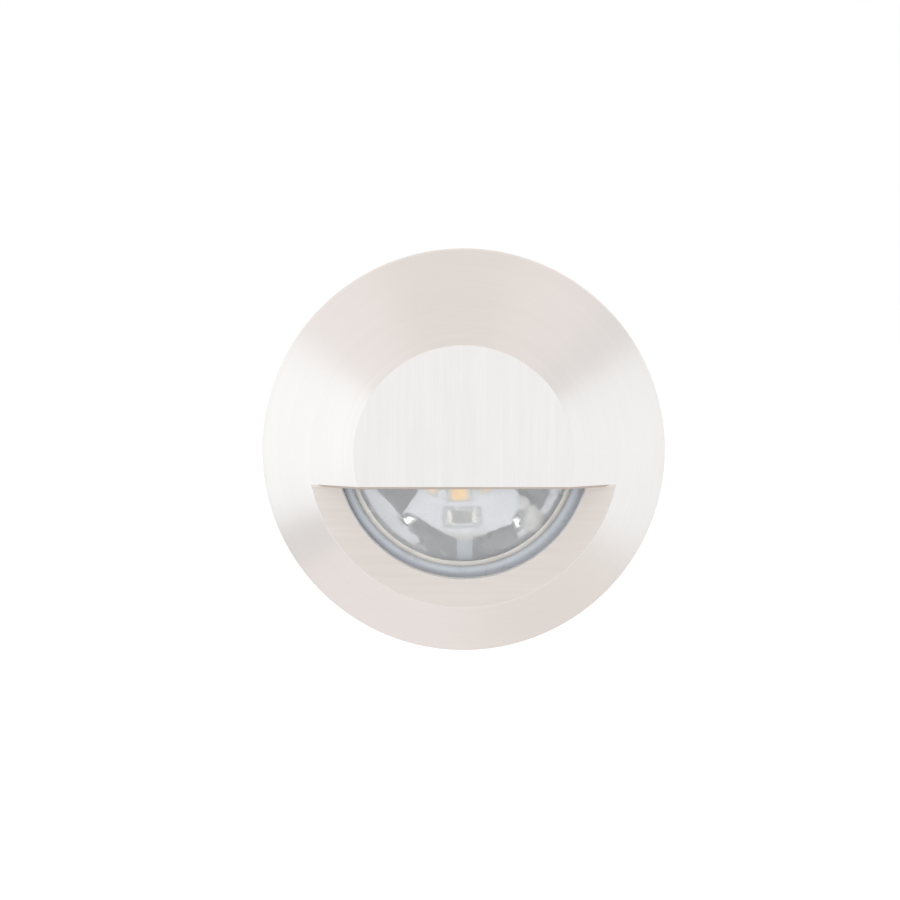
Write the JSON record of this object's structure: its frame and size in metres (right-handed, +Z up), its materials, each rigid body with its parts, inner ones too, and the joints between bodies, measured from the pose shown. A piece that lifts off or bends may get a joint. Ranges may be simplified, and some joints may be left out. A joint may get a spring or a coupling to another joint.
{
  "type": "step light",
  "caption": "Round recessed step light with an eyelid hood over a crescent window, a tubular body with two sprung clips and a cable gland.",
  "frame": {"origin": "centre of the wall seat, on the light's axis in the plane of the wall's surface", "axes": "+Y into the wall along the light's axis, -Y out into the room, +Z up, so that the lid covers the upper part and light falls down and out"},
  "size_m": [0.06, 0.0655, 0.06],
  "materials": {
    "brushed_face": "brushed, turned on the cone and straight on the flat",
    "turned_body": "fine turned",
    "clear_glass": "polished, ground bevel",
    "grey_silicone": "soft gloss",
    "black_rubber": "matte",
    "white_board": "white lacquer",
    "led_white": "moulded",
    "led_fill": "orange yellow resin",
    "resistor_dark": "fired glaze",
    "tinned": "tinned",
    "solder": "bright solder",
    "pad_grey": "grainy",
    "aluminium": "machined",
    "white_plastic": "moulded",
    "spring_steel": "rolled sheet",
    "screw_steel": "plain stainless",
    "green_board": "green lacquer",
    "chip_black": "moulded",
    "can": "drawn can",
    "terminal_green": "moulded",
    "lead_red": "silicone",
    "lead_black": "silicone",
    "nickel": "nickel plate on brass"
  },
  "bodies": {
    "root": {"eyelid_faceplate": "brushed_face", "wall_seal": "black_rubber", "lens": "clear_glass", "lens_gasket": "grey_silicone", "housing": "turned_body", "faceplate_screws": "screw_steel", "spacer_ring": "white_plastic", "led_board": "white_board", "led_bodies": "led_white", "led_phosphors": "led_fill", "resistor_bodies": "resistor_dark", "resistor_terminals": "tinned", "solder_joints": "solder", "board_screws": "screw_steel", "thermal_pad": "pad_grey", "heat_sink": "aluminium", "snap_ring": "spring_steel", "led_lead_negative": "lead_black", "led_lead_positive": "lead_red", "driver_board": "green_board", "driver_screws": "screw_steel", "inductor": "chip_black", "smoothing_capacitor": "can", "rectifier": "chip_black", "driver_chip": "chip_black", "chip_parts": "tinned", "terminal_block": "terminal_green", "terminal_screws": "screw_steel", "rear_cap": "turned_body", "rear_cap_ring": "black_rubber", "gland_washer": "black_rubber", "gland_body": "nickel", "gland_seal": "black_rubber", "gland_nut": "nickel", "clip_bracket_right": "spring_steel", "clip_bracket_left": "spring_steel", "clip_spring_right": "spring_steel", "clip_spring_left": "spring_steel", "clip_pins": "screw_steel", "clip_rivets": "screw_steel"},
    "right_arm": {"clip_arm_right": "spring_steel"},
    "left_arm": {"clip_arm_left": "spring_steel"}
  },
  "joints": [
    {"name": "right_clip_fold", "type": "hinge", "parent": "root", "child": "right_arm", "pos_m": [0.02245, 0.015, 0], "axis": [0, 0, 1], "range_deg": [0, 150], "stiffness_Nm_per_rad": 0.02, "springref_deg": -22.92, "deforming": ["clip_spring_right"]},
    {"name": "left_clip_fold", "type": "hinge", "parent": "root", "child": "left_arm", "pos_m": [-0.02245, 0.015, 0], "axis": [0, 0, -1], "range_deg": [0, 150], "stiffness_Nm_per_rad": 0.02, "springref_deg": -22.92, "deforming": ["clip_spring_left"]}
  ]
}
